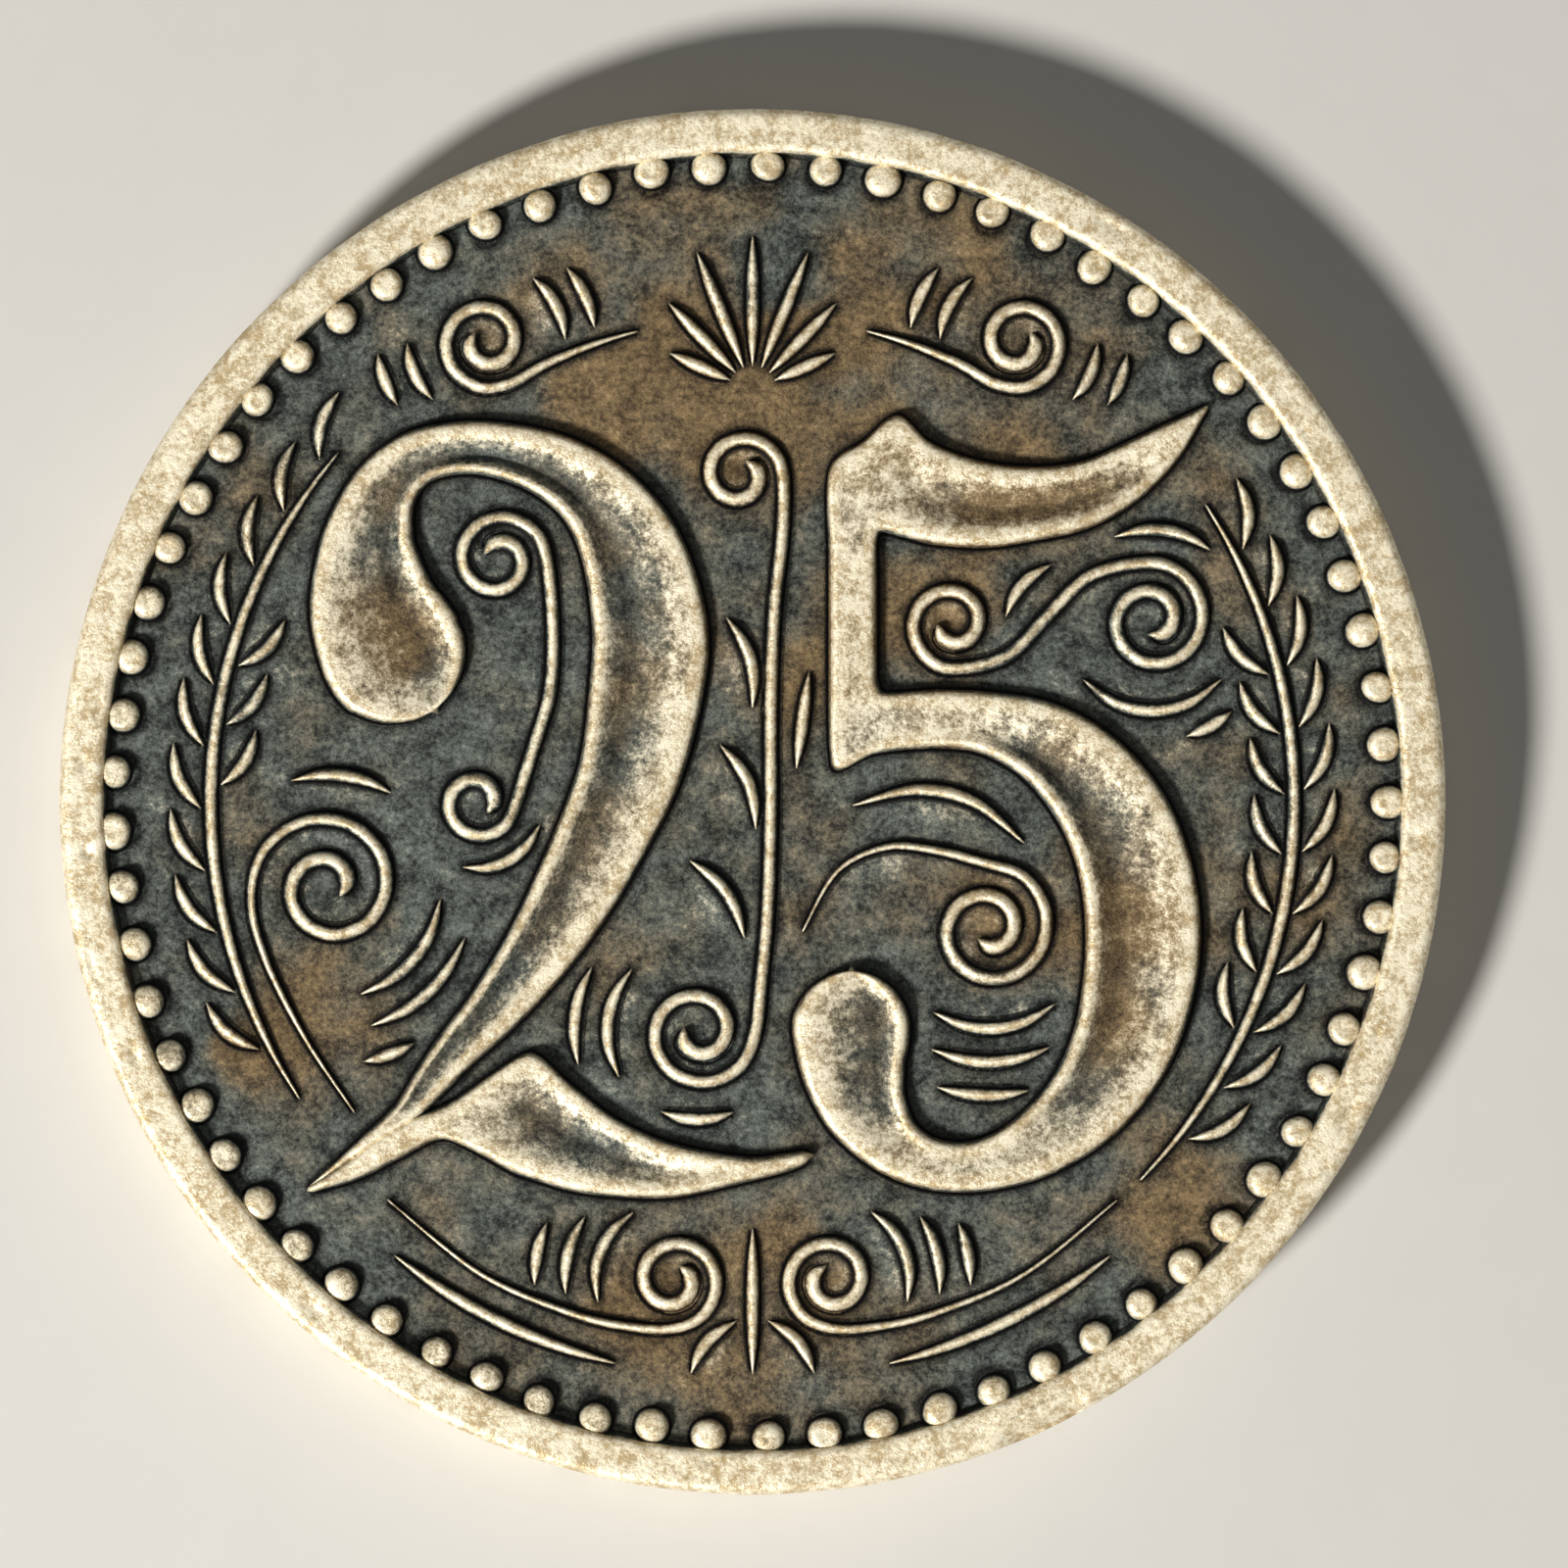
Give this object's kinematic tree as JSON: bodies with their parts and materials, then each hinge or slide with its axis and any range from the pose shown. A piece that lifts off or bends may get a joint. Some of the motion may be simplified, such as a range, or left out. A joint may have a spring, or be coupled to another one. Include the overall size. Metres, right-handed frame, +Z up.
{
  "type": "transit token",
  "caption": "Round struck brass fare token with raised rims, a ring of beads, large dished numerals and scroll lines standing on a dark patinated field.",
  "frame": {"origin": "centre of the back rim's resting face", "axes": "+Z up through the side with the numerals, +Y towards the numerals' top"},
  "size_m": [0.021, 0.021, 0.0017],
  "materials": {
    "field_patina": "dark slate and brown patina, mottled, satin",
    "rim_brass": "worn pale brass with a fine grain, satin",
    "bead_brass": "worn pale brass, dark between the beads",
    "numeral_brass": "bright worn borders round a dull brown dish",
    "line_brass": "worn crests, dark at the foot"
  },
  "bodies": {
    "root": {"blank": "field_patina", "front_rim": "rim_brass", "back_rim": "rim_brass", "front_beads": "bead_brass", "back_beads": "bead_brass", "numeral_two_bow": "numeral_brass", "numeral_two_foot": "numeral_brass", "numeral_five_flag": "numeral_brass", "numeral_five_stem": "numeral_brass", "numeral_five_bowl": "numeral_brass", "crest_fan": "line_brass", "crest_scroll_left": "line_brass", "crest_scroll_right": "line_brass", "side_spray_left": "line_brass", "side_spray_right": "line_brass", "hook_scroll": "line_brass", "diagonal_scroll": "line_brass", "centre_scroll": "line_brass", "flag_scroll": "line_brass", "bowl_scroll": "line_brass", "base_drops": "line_brass", "base_scroll_left": "line_brass", "base_scroll_right": "line_brass", "back_wreath_left": "line_brass", "back_wreath_right": "line_brass", "back_ring": "line_brass"}
  },
  "joints": []
}
